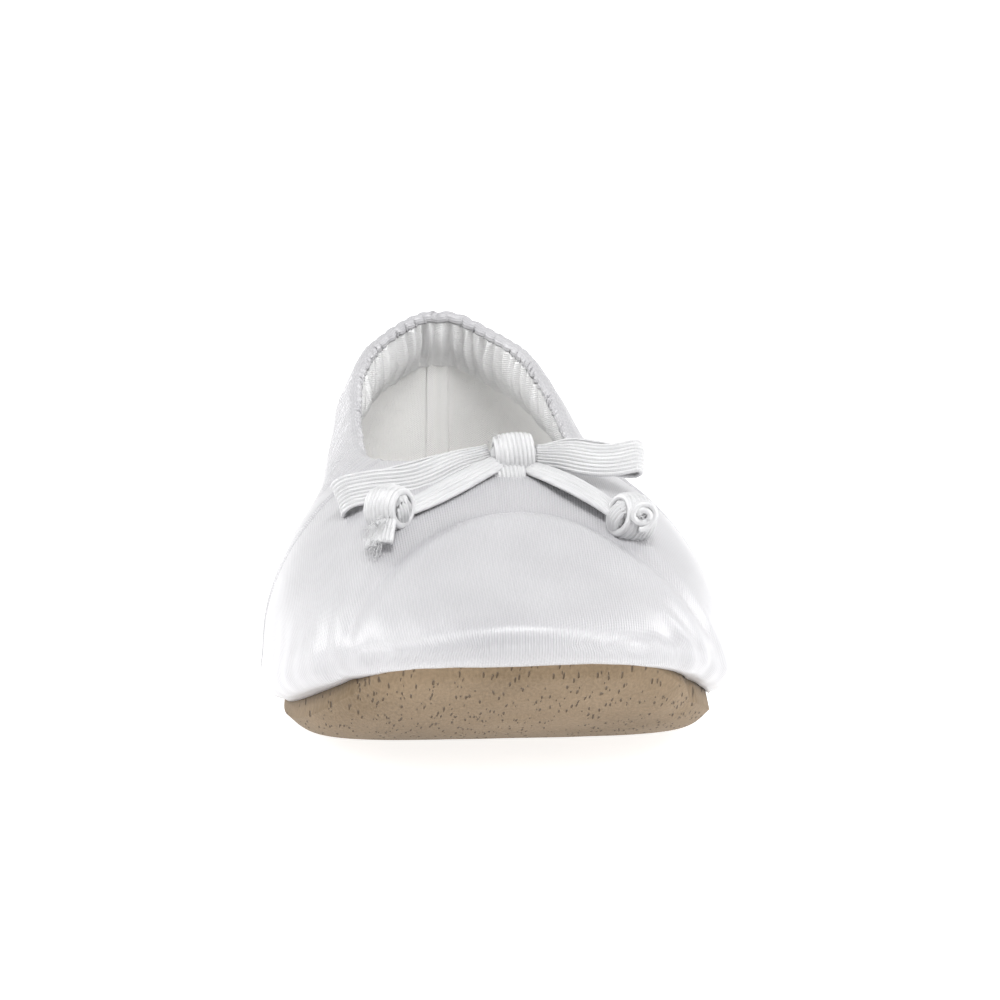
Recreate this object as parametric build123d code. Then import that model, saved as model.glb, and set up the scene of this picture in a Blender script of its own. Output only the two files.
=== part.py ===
# Soft ballet slipper: stretch satin upper, suede outsole curled up at the toe,
# elastic topline and a ribbon bow at the throat.  Millimetres, +Z up.
# The toe points along -Y, the heel along +Y; left is -X and right is +X.
from build123d import *
import math
import os

os.makedirs("parts", exist_ok=True)

# ---- overall last ----
length = 240.0            # toe to heel
ball_half_width = 49.6    # half width of the forefoot before the toe rounding
heel_half_width = 31.0    # half width of the heel before the back rounding
waist_at = -2.0           # where the forefoot narrows into the arch
waist_spread = 20.0
toe_roundness = 2.6       # plan superellipse power, toe end
heel_roundness = 2.8      # plan superellipse power, heel end

# ---- heights of the widest line, from toe tip to heel ----
tip_height = 33.0
ball_height = 15.0
heel_height = 22.0
toe_lift = 29.0           # how far the sole curls up at the toe
lift_from = -50.0         # where the sole leaves the floor
lift_power = 2.2
floor_bite = 0.25         # the rounded underside is trimmed flat by this much

# ---- heights of the crown line ----
crown_toe = 46.0
crown_throat = 53.0
crown_heel = 74.0
topline_dip = 8.0         # how far the topline sags along the sides

# ---- section roundness ----
low_power = 5.0           # flat sole with tight corners
vamp_power = 2.1
heel_side_power = 2.4

# ---- opening, in plan ----
throat_y = -35.0
heel_edge_y = 113.0
opening_front_half = 25.5
opening_back_half = 22.0
opening_power = 2.9

# ---- layers ----
satin = 1.2
lining = 1.0
facing = 0.8
foam_top = 5.0
sock_top = 5.8
facing_drop = 15.0
elastic_drop = 9.5
hem_drop = 5.0
tape_half = 3.0
cushion_thick = 3.0
insole_toe_y = -112.0     # the insole stops just short of the toe seam
flex_y = 0.0              # line behind the ball where the forefoot bends
seam_top_y = -19.0        # the side seam meets the topline here
seam_top_z = 46.0
seam_lean = 0.35

# ---- bow ----
ribbon_width = 8.5
ribbon_thick = 0.7
bow_x = 4.0
bow_y = -42.0
bow_z = 56.8
bow_tip = 55.0            # how far the loops' faces tip up
loop_puff = 1.7
stations = 18
around = 24


def mix(a, b, t):
    return a + (b - a) * t


def ease(t):
    t = min(1.0, max(0.0, t))
    return t * t * (3.0 - 2.0 * t)


def oval(q, power):
    return max(0.0, 1.0 - abs(q) ** power) ** (1.0 / power)


def half_width(y):
    power = toe_roundness if y < 0 else heel_roundness
    flare = 1.0 / (1.0 + math.exp((y - waist_at) / waist_spread))
    body = mix(heel_half_width, ball_half_width, flare)
    return body * oval(y / (length / 2), power)


def widest_z(y):
    toe = min(1.0, max(0.0, (-40.0 - y) / 80.0)) ** 1.6
    base = mix(ball_height, heel_height, ease((y + 40.0) / 140.0))
    return mix(base, tip_height, toe)


def sole_lift(y):
    t = (lift_from - y) / (lift_from + length / 2)
    return toe_lift * min(1.0, max(0.0, t)) ** lift_power


def bottom_z(y):
    power = 3.5 if y < 0 else 4.0
    drop = widest_z(y) - sole_lift(y) + floor_bite
    return widest_z(y) - drop * oval(y / (length / 2), power)


def crown_z(y):
    if y < throat_y:
        top = mix(crown_toe, crown_throat, ease((y + 120.0) / (throat_y + 120.0)))
    else:
        t = (y - throat_y) / (120.0 - throat_y)
        top = mix(crown_throat, crown_heel, ease(t)) - topline_dip * math.sin(math.pi * t) ** 2
    power = 2.6 if y < 0 else 5.0
    return widest_z(y) + (top - widest_z(y)) * oval(y / (length / 2), power)


def upper_power(y):
    return mix(vamp_power, heel_side_power, ease((y + 60.0) / 120.0))


def skin(y, angle):
    # a point of the outer surface: angle 0 is the right side, 90 degrees the crown
    c = math.cos(angle)
    s = math.sin(angle)
    power = upper_power(y) if s >= 0 else low_power
    x = half_width(y) * math.copysign(abs(c) ** (2.0 / power), c)
    reach = crown_z(y) - widest_z(y) if s >= 0 else bottom_z(y) - widest_z(y)
    z = widest_z(y) + reach * abs(s) ** (2.0 / power)
    return Vector(x, y, z)


def wall_z(x, y):
    # height of the outer surface above the widest line
    power = upper_power(y)
    r = min(1.0, abs(x) / half_width(y))
    return widest_z(y) + (crown_z(y) - widest_z(y)) * oval(r, power)


def ring(u, depth, flat_at=None):
    # one closed section of the last, moved inwards by the layer depth
    points = []
    for i in range(around):
        angle = 2.0 * math.pi * (i + 0.5) / around
        y = -length / 2 * math.cos(math.pi * u)
        p = skin(y, angle)
        if depth > 0:
            y0 = -length / 2 * math.cos(math.pi * (u - 0.004))
            y1 = -length / 2 * math.cos(math.pi * (u + 0.004))
            along = skin(y1, angle) - skin(y0, angle)
            across = skin(y, angle + 0.03) - skin(y, angle - 0.03)
            inward = across.cross(along).normalized()
            p = p + inward * depth
        if flat_at is not None:
            p = Vector(p.X, flat_at, p.Z)
        points.append(p)
    steps = [i / around for i in range(around + 1)]
    return Wire([Edge.make_spline(points, periodic=True, parameters=steps)])


def last(depth):
    # closed body of the last, inset by the layer depth; a small flat ends the heel
    toe_tip = Vertex(0, -length / 2 + depth * 1.3, tip_height)
    first = 1 if depth < 1.5 else 2
    rings = [ring(i / stations, depth) for i in range(first, stations)]
    rings.append(ring(0.98, depth, length / 2 - depth))
    return Solid.make_loft([toe_tip] + rings)


def rim_z(y):
    # height of the opening's edge in the side view
    middle = (throat_y + heel_edge_y) / 2
    half = (heel_edge_y - throat_y) / 2
    q = min(0.999, max(-0.999, (y - middle) / half))
    reach = mix(opening_front_half, opening_back_half, (q + 1.0) / 2)
    return wall_z(reach * oval(q, opening_power), y)


def seam_z(y):
    # height of the seam between the suede sole and the satin
    toe = min(1.0, max(0.0, (-40.0 - y) / 80.0)) ** 1.2
    side = mix(11.0, 14.0, ease((y + 40.0) / 120.0))
    return widest_z(y) - mix(side, 3.5, toe)


def side_block(height, drop=0.0, first=-135.0, last_y=135.0):
    # everything below a line drawn in the side view
    count = 40
    top = []
    for i in range(count + 1):
        y = mix(first, last_y, i / count)
        inside = min(length / 2 - 0.2, max(-length / 2 + 0.2, y))
        top.append((y, height(inside) - drop))
    line = Spline(*[Vector(0, p[0], p[1]) for p in top])
    down = Polyline(Vector(0, last_y, top[-1][1]), Vector(0, last_y, -20), Vector(0, first, -20),
                    Vector(0, first, top[0][1]))
    face = Face(Wire([line] + down.edges()))
    return Solid.extrude(face.moved(Location((-70, 0, 0))), Vector(140, 0, 0))


def above(side_cut):
    # everything over a side-view line
    return block(-60, 60, -130, 130, -15, 110).cut(side_cut).solids()[0]


def opening_prism(grow=0.0):
    # the foot opening: an egg drawn in plan and cut straight up
    middle = (throat_y + heel_edge_y) / 2
    half = (heel_edge_y - throat_y) / 2 + grow
    points = []
    for i in range(48):
        angle = 2.0 * math.pi * (i + 0.5) / 48
        s = math.sin(angle)
        c = math.cos(angle)
        y = middle + half * math.copysign(abs(s) ** (2.0 / opening_power), s)
        reach = mix(opening_front_half, opening_back_half, (s + 1.0) / 2) + grow
        points.append(Vector(reach * math.copysign(abs(c) ** (2.0 / opening_power), c), y, 32.0))
    face = Face(Wire([Spline(*points, periodic=True)]))
    return Solid.extrude(face, Vector(0, 0, 60))


def block(x0, x1, y0, y1, z0, z1):
    centre = ((x0 + x1) / 2, (y0 + y1) / 2, (z0 + z1) / 2)
    return Box(x1 - x0, y1 - y0, z1 - z0).moved(Location(centre))


def common(a, b):
    found = a.intersect(b).solids()
    return max(found, key=lambda s: s.volume)


def minus(a, *tools):
    for tool in tools:
        found = a.cut(tool).solids()
        a = max(found, key=lambda s: s.volume)
    return a


def save(shape, name):
    shape.label = name
    export_step(shape, "parts/" + name + ".step")
    print(name, round(shape.volume, 1), shape.is_valid)


def leaning_front():
    # the vamp lies before this plane, which leans forwards towards the sole
    foot = seam_top_y - (seam_top_z + 40.0) * seam_lean
    head = seam_top_y + (120.0 - seam_top_z) * seam_lean
    corners = [(0, -160, -40), (0, foot, -40), (0, head, 120), (0, -160, 120)]
    face = Face(Wire(Polyline(*corners, close=True).edges()))
    return Solid.extrude(face.moved(Location((-70, 0, 0))), Vector(140, 0, 0))


def foam_z(y):
    return sole_lift(y) + foam_top


def sock_z(y):
    return sole_lift(y) + sock_top


def topline_z(y):
    return rim_z(min(heel_edge_y, max(throat_y, y)))


def facing_z(y):
    return topline_z(y) - facing_drop


def elastic_z(y):
    return topline_z(y) - elastic_drop


def outward(x, y):
    # normal of the upper's surface at a point above the widest line
    step = 0.5
    sx = (wall_z(x + step, y) - wall_z(x - step, y)) / (2 * step)
    sy = (wall_z(x, y + step) - wall_z(x, y - step)) / (2 * step)
    return Vector(-sx, -sy, 1.0).normalized()


def band_section(width, thick):
    corners = [(-width / 2, -thick / 2), (width / 2, -thick / 2), (width / 2, thick / 2), (-width / 2, thick / 2)]
    return Wire(Polyline(*corners, close=True).edges())


def ribbon(points, normals, widths, thick):
    # a flat band lofted through rectangles set across its path
    faces = []
    last_one = len(points) - 1
    for i, p in enumerate(points):
        along = (points[min(last_one, i + 1)] - points[max(0, i - 1)]).normalized()
        side = normals[i].cross(along).normalized()
        plane = Plane(origin=p, x_dir=side, z_dir=along)
        faces.append(plane.location * band_section(widths[i], thick))
    return Solid.make_loft(faces)


def bow_loop(root, droop, reach, side):
    # ribbon doubled back on itself, its face tipped up from the vamp
    tip = math.radians(bow_tip)
    up = Vector(0, math.cos(tip), math.sin(tip))
    face_out = Vector(0, -math.sin(tip), math.cos(tip))
    fall = math.radians(droop)
    away = Vector(side * math.cos(fall), 0, 0) - up * math.sin(fall)
    across = (up - away * up.dot(away)).normalized()
    path = []
    for i in range(7):
        out = (reach - loop_puff) * i / 6
        path.append((out, mix(0.5, loop_puff, ease(out / (0.5 * reach)))))
    for i in range(1, 6):
        turn = math.pi * (0.5 - i / 6)
        path.append((reach - loop_puff + loop_puff * math.cos(turn), loop_puff * math.sin(turn)))
    path += [(p[0], -p[1]) for p in reversed(path[:7])]
    points = [root + away * p[0] + face_out * p[1] for p in path]
    outlines = []
    for i, p in enumerate(points):
        along = (points[min(len(path) - 1, i + 1)] - points[max(0, i - 1)]).normalized()
        plane = Plane(origin=p, x_dir=across, z_dir=along)
        half = mix(3.0, ribbon_width / 2, ease(path[i][0] / (0.4 * reach)))
        outlines.append(plane.location * band_section(half * 2, ribbon_thick))
    return Solid.make_loft(outlines)


def bow_tail(start, end, stub, knot_radius):
    # loose end lying on the vamp, finished with an overhand knot
    points = []
    normals = []
    widths = []
    count = 8
    for i in range(count + 1):
        t = i / count
        x = mix(start[0], end[0], t)
        y = mix(start[1], end[1], t)
        n = outward(x, y)
        lift = mix(start[2], end[2], t) - 1.2 * math.sin(math.pi * t)
        points.append(Vector(x, y, wall_z(x, y)) + n * lift)
        normals.append(n)
        widths.append(mix(4.6, 5.4, math.sin(math.pi * t)))
    band = ribbon(points, normals, widths, 1.0)
    n = outward(end[0], end[1])
    centre = Vector(end[0], end[1], wall_z(end[0], end[1])) + n * (knot_radius + 0.5)
    knot = Solid.make_sphere(knot_radius, angle1=-90, angle2=90).moved(Location(centre))
    tip = Vector(stub[0], stub[1], wall_z(stub[0], stub[1])) + outward(stub[0], stub[1]) * stub[2]
    middle = (centre + tip) * 0.5
    end_piece = ribbon([centre, middle, tip], [n, n, n], [4.0, 5.0, 6.0], 1.6)
    return band.fuse(knot).fuse(end_piece).solids()[0]


# ---- layers of the last ----
whole = last(0)
inside_satin = last(satin)
inside_lining = last(satin + lining)
inside_facing = last(satin + lining + facing)
floor = block(-80, 80, -150, 150, -20, 0)
front = block(-80, 80, -150, flex_y, -30, 120)
back = block(-80, 80, flex_y, 150, -30, 120)
left = block(-80, 0, -150, 150, -30, 120)
right = block(0, 80, -150, 150, -30, 120)
opening = opening_prism()
vamp_side = leaning_front()
under_seam = side_block(seam_z)
under_foam = side_block(foam_z)
under_sock = side_block(sock_z)
under_facing = side_block(facing_z)
under_elastic = side_block(elastic_z)

# suede outsole, cut at the flex line
skin_layer = minus(whole, floor).cut(inside_satin).solids()[0]
outsole = common(skin_layer, under_seam)
save(common(outsole, front), "outsole_front")
save(common(outsole, back), "outsole_back")

# satin upper
upper = minus(skin_layer, under_seam, opening)
save(common(upper, vamp_side), "vamp")
quarters = minus(upper, vamp_side)
save(common(quarters, left), "quarter_left")
save(common(quarters, right), "quarter_right")

# lining, elastic and facing
lining_layer = inside_satin.cut(inside_lining).solids()[0]
lining_shell = minus(lining_layer, under_sock, opening)
save(common(lining_shell, vamp_side), "vamp_lining")
rear_lining = minus(lining_shell, vamp_side)
save(common(rear_lining, above(under_elastic)), "topline_elastic")
rear_lining = common(rear_lining, under_elastic)
save(common(rear_lining, left), "quarter_lining_left")
save(common(rear_lining, right), "quarter_lining_right")

facing_layer = inside_lining.cut(inside_facing).solids()[0]
facing_shell = minus(facing_layer, under_sock, opening)
rear_facing = minus(facing_shell, vamp_side)
save(common(rear_facing, above(under_facing)), "topline_facing")
tape = block(-tape_half, tape_half, 60, 150, 0, 100)
save(common(common(rear_facing, under_facing), tape), "back_seam_tape")
hem = common(facing_shell, vamp_side)
save(common(hem, opening_prism(hem_drop)), "throat_hem")

# cushioned insole
foam = common(inside_satin, under_foam)
pad = Solid.make_cylinder(20.0, cushion_thick).moved(Location((0, 80, foam_top - cushion_thick)))
save(common(foam, pad), "heel_cushion")
foam = minus(foam, pad)
toe_end = block(-80, 80, insole_toe_y, flex_y, -30, 120)
save(common(foam, toe_end), "insole_foam_front")
save(common(foam, back), "insole_foam_back")
over_foam = above(under_foam)
save(common(common(common(inside_satin, toe_end), under_sock), over_foam), "insole_sock_front")
save(common(common(common(inside_satin, back), under_sock), over_foam), "insole_sock_back")

# bow
knot_place = Vector(bow_x, bow_y, bow_z)
knot = Solid.make_sphere(1.0, angle1=-90, angle2=90)
knot = scale(knot, (4.4, 4.2, 4.8)).moved(Location(knot_place))
save(minus(knot.solids()[0], whole), "bow_knot")
left_root = knot_place + Vector(-5.2, 0, 0.5)
right_root = knot_place + Vector(5.9, 0, 0.5)
save(bow_loop(left_root, 12.0, 31.0, -1.0), "bow_loop_left")
save(bow_loop(right_root, 1.0, 23.0, 1.0), "bow_loop_right")
save(bow_tail((-1.0, -47.5, 2.0), (-22.0, -64.0, 4.0), (-24.5, -76.0, 1.6), 4.5), "bow_tail_left")
save(bow_tail((8.5, -48.0, 2.0), (26.0, -63.5, 4.0), (28.5, -73.0, 3.0), 4.7), "bow_tail_right")
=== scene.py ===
import math

import bpy
import numpy as np
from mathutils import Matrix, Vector


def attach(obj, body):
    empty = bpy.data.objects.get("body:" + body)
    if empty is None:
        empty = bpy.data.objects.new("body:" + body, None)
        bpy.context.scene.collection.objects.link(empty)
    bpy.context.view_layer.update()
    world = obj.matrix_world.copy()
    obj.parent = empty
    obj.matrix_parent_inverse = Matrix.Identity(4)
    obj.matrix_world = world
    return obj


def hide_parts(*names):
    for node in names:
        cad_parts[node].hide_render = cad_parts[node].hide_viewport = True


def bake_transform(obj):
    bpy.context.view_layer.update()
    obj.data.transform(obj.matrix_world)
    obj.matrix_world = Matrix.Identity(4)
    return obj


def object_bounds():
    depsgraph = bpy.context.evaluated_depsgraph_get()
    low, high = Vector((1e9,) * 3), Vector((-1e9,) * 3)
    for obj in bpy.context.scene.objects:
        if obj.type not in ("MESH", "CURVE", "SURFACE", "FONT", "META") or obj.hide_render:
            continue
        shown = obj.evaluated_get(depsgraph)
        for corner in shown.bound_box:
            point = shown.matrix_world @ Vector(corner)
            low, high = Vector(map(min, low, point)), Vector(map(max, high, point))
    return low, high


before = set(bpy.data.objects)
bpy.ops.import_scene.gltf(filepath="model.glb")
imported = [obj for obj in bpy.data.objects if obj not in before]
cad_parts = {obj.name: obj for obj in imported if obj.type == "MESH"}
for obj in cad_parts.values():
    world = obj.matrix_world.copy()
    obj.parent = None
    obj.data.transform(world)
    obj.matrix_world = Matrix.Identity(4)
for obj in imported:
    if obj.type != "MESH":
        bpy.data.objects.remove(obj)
cad_low, cad_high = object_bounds()
MM = 0.001
rng = np.random.default_rng(7)

# ---- the last, from the CAD frame ----
HALF_LENGTH = min((cad_high.y - cad_low.y) / 2 / MM, 120.0)
BALL_HALF, HEEL_HALF = 49.6, 31.0
WAIST_AT, WAIST_SPREAD = -2.0, 20.0
TIP_Z, BALL_Z, HEEL_Z = 33.0, 15.0, 22.0
TOE_LIFT, LIFT_FROM, LIFT_POWER = 29.0, -50.0, 2.2
CROWN_TOE, CROWN_THROAT, CROWN_HEEL, TOPLINE_DIP = 46.0, 53.0, 74.0, 8.0
THROAT_Y, HEEL_EDGE_Y = -35.0, 113.0
OPENING_FRONT, OPENING_BACK, OPENING_POWER = 25.5, 22.0, 2.9
FLOOR_BITE = 0.25

# ---- layers and details ----
SATIN, LINING_AT, FACING_AT, CLOTH = 0.45, 2.0, 3.0, 0.45
FACING_DEPTH = 14.0
GATHER_PITCH = 3.7
SEAM_RIM_Y, SEAM_WIDE_Y = -17.0, -40.0
RIB_PITCH = 0.52
HALF_COLUMNS, ROWS = 480, 116
SOCK_TOP = 5.8
ROLL_REAR, ROLL_THROAT = 1.5, 0.9


def mix(a, b, t):
    return a + (b - a) * t


def ease(t):
    t = np.clip(t, 0.0, 1.0)
    return t * t * (3.0 - 2.0 * t)


def oval(q, power):
    return np.maximum(0.0, 1.0 - np.abs(q) ** power) ** (1.0 / power)


def half_width(y):
    power = np.where(y < 0, 2.6, 2.8)
    body = mix(HEEL_HALF, BALL_HALF, 1.0 / (1.0 + np.exp((y - WAIST_AT) / WAIST_SPREAD)))
    return body * oval(y / HALF_LENGTH, power)


def widest_z(y):
    toe = np.clip((-40.0 - y) / 80.0, 0.0, 1.0) ** 1.6
    return mix(mix(BALL_Z, HEEL_Z, ease((y + 40.0) / 140.0)), TIP_Z, toe)


def sole_lift(y):
    return TOE_LIFT * np.clip((LIFT_FROM - y) / (LIFT_FROM + HALF_LENGTH), 0.0, 1.0) ** LIFT_POWER


def bottom_z(y):
    power = np.where(y < 0, 3.5, 4.0)
    return widest_z(y) - (widest_z(y) - sole_lift(y) + FLOOR_BITE) * oval(y / HALF_LENGTH, power)


def crown_z(y):
    front = mix(CROWN_TOE, CROWN_THROAT, ease((y + 120.0) / (THROAT_Y + 120.0)))
    t = (y - THROAT_Y) / (120.0 - THROAT_Y)
    back = mix(CROWN_THROAT, CROWN_HEEL, ease(t)) - TOPLINE_DIP * np.sin(math.pi * t) ** 2
    top = np.where(y < THROAT_Y, front, back)
    power = np.where(y < 0, 2.6, 5.0)
    return widest_z(y) + (top - widest_z(y)) * oval(y / HALF_LENGTH, power)


def upper_power(y):
    return mix(2.1, 2.4, ease((y + 60.0) / 120.0))


def bell(d, spread):
    return np.exp(-((d / spread) ** 2))


def share_out(x, y):
    return np.minimum(1.0, np.abs(x) / np.maximum(half_width(y), 1e-6))


def wall_z(x, y):
    # height of the outer surface above the widest line
    return widest_z(y) + (crown_z(y) - widest_z(y)) * oval(share_out(x, y), upper_power(y))


def under_z(x, y):
    # height of the outer surface below the widest line
    return widest_z(y) - (widest_z(y) - bottom_z(y)) * oval(share_out(x, y), 5.0)


def seam_depth(y):
    # how far the sole seam lies below the widest line
    toe = np.clip((-40.0 - y) / 80.0, 0.0, 1.0) ** 1.2
    return mix(mix(11.0, 14.0, ease((y + 40.0) / 120.0)), 3.5, toe)


def unit(v):
    return v / np.maximum(np.linalg.norm(v, axis=-1, keepdims=True), 1e-12)


def arc(points):
    # length along a row of points, starting from 0
    steps = np.linalg.norm(np.diff(points, axis=0), axis=-1)
    return np.concatenate([[0.0], np.cumsum(steps)])


def along(points, share):
    # the points at these shares of a path's length
    s = arc(points)
    return np.stack([np.interp(share * s[-1], s, points[:, k]) for k in range(points.shape[1])], -1)


def depth_down(p):
    # length down each column of a grid, starting from 0 in its first row
    steps = np.linalg.norm(np.diff(p, axis=1), axis=-1)
    return np.concatenate([np.zeros((len(p), 1)), np.cumsum(steps, 1)], 1)


def share_at_y(points, y):
    s = arc(points)
    return float(np.interp(y, points[:, 1], s) / s[-1])


# ---- the surface grid: columns go round the shoe, rows go from the rim to the sole seam ----
def rim_half():
    turn = np.linspace(-math.pi / 2, math.pi / 2, 6001)
    s, c = np.sin(turn), np.maximum(np.cos(turn), 0.0)
    reach = mix(OPENING_FRONT, OPENING_BACK, (s + 1.0) / 2)
    half_open = (HEEL_EDGE_Y - THROAT_Y) / 2
    y = (THROAT_Y + HEEL_EDGE_Y) / 2 + half_open * np.sign(s) * np.abs(s) ** (2 / OPENING_POWER)
    return np.stack([reach * c ** (2 / OPENING_POWER), y], -1)


def widest_half():
    y = -HALF_LENGTH * np.cos(np.linspace(0.0, math.pi, 12001))
    return np.stack([half_width(y), y], -1)


def seam_half():
    # the sole seam in plan, from the centre line at the toe to the centre line at the heel
    y = -HALF_LENGTH * np.cos(np.linspace(0.0, math.pi, 24001)[1:-1])
    deep = seam_depth(y) / (widest_z(y) - bottom_z(y))
    y, deep = y[deep < 1.0], deep[deep < 1.0]
    x = half_width(y) * oval(deep, 5.0)
    x, y = np.concatenate([[0.0], x, [0.0]]), np.concatenate([y[:1], y, y[-1:]])
    return np.stack([x, y], -1)


def right_half():
    rim, wide = rim_half(), widest_half()
    seam_column = round(share_at_y(wide, SEAM_WIDE_Y) * HALF_COLUMNS)
    share = np.linspace(0.0, 1.0, HALF_COLUMNS + 1)
    knots = [0.0, seam_column / HALF_COLUMNS, 1.0]
    top = along(rim, np.interp(share, knots, [0.0, share_at_y(rim, SEAM_RIM_Y), 1.0]))
    side = along(wide, share)
    low = along(seam_half(), share)
    down = 1.0 - (1.0 - np.linspace(0.0, 1.0, 260)) ** 2
    under = np.linspace(0.0, 1.0, 121)[1:] ** 5
    columns = []
    for a, b, c in zip(top, side, low):
        above = a + (b - a) * down[:, None]
        below = b + (c - b) * under[:, None]
        z = np.concatenate([wall_z(above[:, 0], above[:, 1]), under_z(below[:, 0], below[:, 1])])
        path = np.column_stack([np.vstack([above, below]), z])
        start = mix(ROLL_REAR, ROLL_THROAT, bell(a[1] - THROAT_Y, 9.0)) / arc(path)[-1]
        columns.append(along(path, np.linspace(start, 1.0, ROWS)))
    return np.array(columns), seam_column


def mirrored(half):
    # the whole ring, from the toe round the right side, the heel and the left side
    other = half[-2:0:-1].copy()
    other[..., 0] *= -1
    return np.concatenate([half, other])


def grid_normals(p):
    round_ = np.roll(p, -1, 0) - np.roll(p, 1, 0)
    down = np.gradient(p, axis=1)
    return unit(np.cross(down, round_))


def bow_hollow(x, y):
    # the vamp dips in an arc in front of the bow and swells again before the toe
    arc_y = -60.5 - 0.03 * (x - 4.0) ** 2
    dip = -3.5 * bell(y - arc_y, 6.2) * bell(x - 4.0, 26.0)
    return dip + 1.1 * bell(y - arc_y + 14.0, 9.0) * bell(x - 4.0, 34.0)


half_grid, SEAM_COLUMN = right_half()
last_grid = mirrored(half_grid)
# the lower corners of the forefoot are rounded in towards the sole
up_from_seam = depth_down(last_grid[:, ::-1])[:, ::-1]
corner_share = ease((np.abs(last_grid[..., 0]) - 22.0) / 16.0) * ease(-last_grid[..., 1] / 45.0)
shift = bow_hollow(last_grid[..., 0], last_grid[..., 1]) - 2.0 * corner_share * bell(up_from_seam, 5.5)
base = last_grid + grid_normals(last_grid) * shift[..., None]
COLUMNS = len(base)
HEEL_COLUMN = HALF_COLUMNS
normal = grid_normals(base)
from_rim = depth_down(base)
to_seam = from_rim[:, -1:] - from_rim
row_step = np.linalg.norm(np.roll(base, -1, 0) - base, axis=-1)
row_arc = np.concatenate([np.zeros((1, ROWS)), np.cumsum(row_step, 0)[:-1]])


def distance_from_column(column):
    # signed distance round the shoe from one column, along each row
    total = row_arc[-1] + row_step[-1]
    gap = row_arc - row_arc[column]
    return (gap + total / 2) % total - total / 2


from_right_seam = distance_from_column(SEAM_COLUMN)
from_left_seam = distance_from_column(COLUMNS - SEAM_COLUMN)
from_heel = distance_from_column(HEEL_COLUMN)


def wander(t, periods, seed):
    # a smooth uneven wave made of a few sines, between about -1 and 1
    draw = np.random.default_rng(seed)
    return sum(np.sin(2 * math.pi * t / p + draw.uniform(0, 6.28)) for p in periods) / len(periods)


# ---- gathers of the elastic topline ----
rim_arc = row_arc[:, :1]
behind_seam = np.minimum(rim_arc - rim_arc[SEAM_COLUMN], rim_arc[COLUMNS - SEAM_COLUMN] - rim_arc)
gather_share = ease(behind_seam / 16.0) * mix(0.55, 1.0, ease((base[:, :1, 1] - 20.0) / 80.0))


def gathers(pitch, seed):
    phase = math.pi * rim_arc / pitch + 1.5 * wander(rim_arc, (23.0, 37.0, 61.0), seed)
    puff = np.abs(np.sin(phase)) ** 0.75 * 2.0 - 1.15
    return puff * (0.75 + 0.35 * wander(rim_arc, (11.0, 19.0), seed + 1))


outer_gathers = gathers(GATHER_PITCH, 3)


def upper_relief():
    # how far the satin stands off the smooth last
    x, y = base[..., 0], base[..., 1]
    calm_edge = 0.22 * bell(from_rim, 3.0) + 0.8 * bell(from_rim - 6.5, 5.5)
    relief = gather_share * outer_gathers * calm_edge
    # the turned sole seam: a tuck and a soft roll above it
    toe_share = ease((-20.0 - y) / 70.0)
    relief += mix(0.7, 1.3, toe_share) * bell(to_seam - 4.4, 3.4) - 0.9 * bell(to_seam, 1.1)
    side_share = ease((np.abs(x) - 26.0) / 14.0) * toe_share
    relief += 1.5 * side_share * bell(to_seam - 6.0, 4.2) - 0.7 * side_share * bell(to_seam, 1.4)
    # pull wrinkles running up from the seam at the toe corners
    corner = bell(np.abs(x) - 33.0, 17.0) * toe_share
    round_seam = row_arc[:, -1:]
    pucker = wander(round_seam + 0.45 * to_seam, (7.5, 10.5, 14.0), 11)
    relief += 0.42 * corner * pucker * bell(to_seam - 7.0, 7.5)
    # side seams, with a row of topstitching behind each, and the back seam
    for gap in (from_right_seam, -from_left_seam):
        relief -= 0.65 * bell(gap, 0.7) + 0.35 * bell(gap - 2.6, 0.6)
        relief += 0.35 * bell(gap - 1.3, 0.9)
    relief -= 0.6 * bell(from_heel, 0.7)
    relief += 0.3 * wander(x + 0.4 * y, (31.0, 47.0), 21) * wander(y - 0.3 * x, (37.0, 59.0), 22)
    return relief


def roll_in(surface, n, radius, steps=9):
    # the rim's edge, rolled over towards the inside; the first row is the innermost
    up = unit(surface[:, 0] - surface[:, 1])
    out = unit(n[:, 0])
    centre = surface[:, 0] - out * radius
    turn = np.linspace(math.pi, 0.0, steps + 1)[:-1]
    rows = [centre + radius * (out * math.cos(t) + up * math.sin(t)) for t in turn]
    return np.stack(rows, 1)


# ---- meshes ----
def make_piece(name, points, faces, uv, material, body=None):
    mesh = bpy.data.meshes.new(name)
    mesh.from_pydata((np.asarray(points) * MM).tolist(), [], [list(map(int, f)) for f in faces])
    layer = mesh.uv_layers.new(name="Cloth")
    corners = np.zeros(len(mesh.loops), int)
    mesh.loops.foreach_get("vertex_index", corners)
    layer.data.foreach_set("uv", np.asarray(uv)[corners].astype(np.float32).ravel())
    mesh.polygons.foreach_set("use_smooth", np.ones(len(mesh.polygons), bool))
    mesh.materials.append(material)
    mesh.validate()
    mesh.update()
    piece = bpy.data.objects.new(name, mesh)
    bpy.context.scene.collection.objects.link(piece)
    if body:
        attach(piece, body)
    return piece


def grid_faces(count_a, count_b, first=0, wrap=False):
    a = np.arange(count_a if wrap else count_a - 1)
    b = np.arange(count_b - 1)
    a, b = np.meshgrid(a, b, indexing="ij")
    nxt = (a + 1) % count_a
    here, there = a * count_b + b, nxt * count_b + b
    return np.stack([here, here + 1, there + 1, there], -1).reshape(-1, 4) + first


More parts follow.
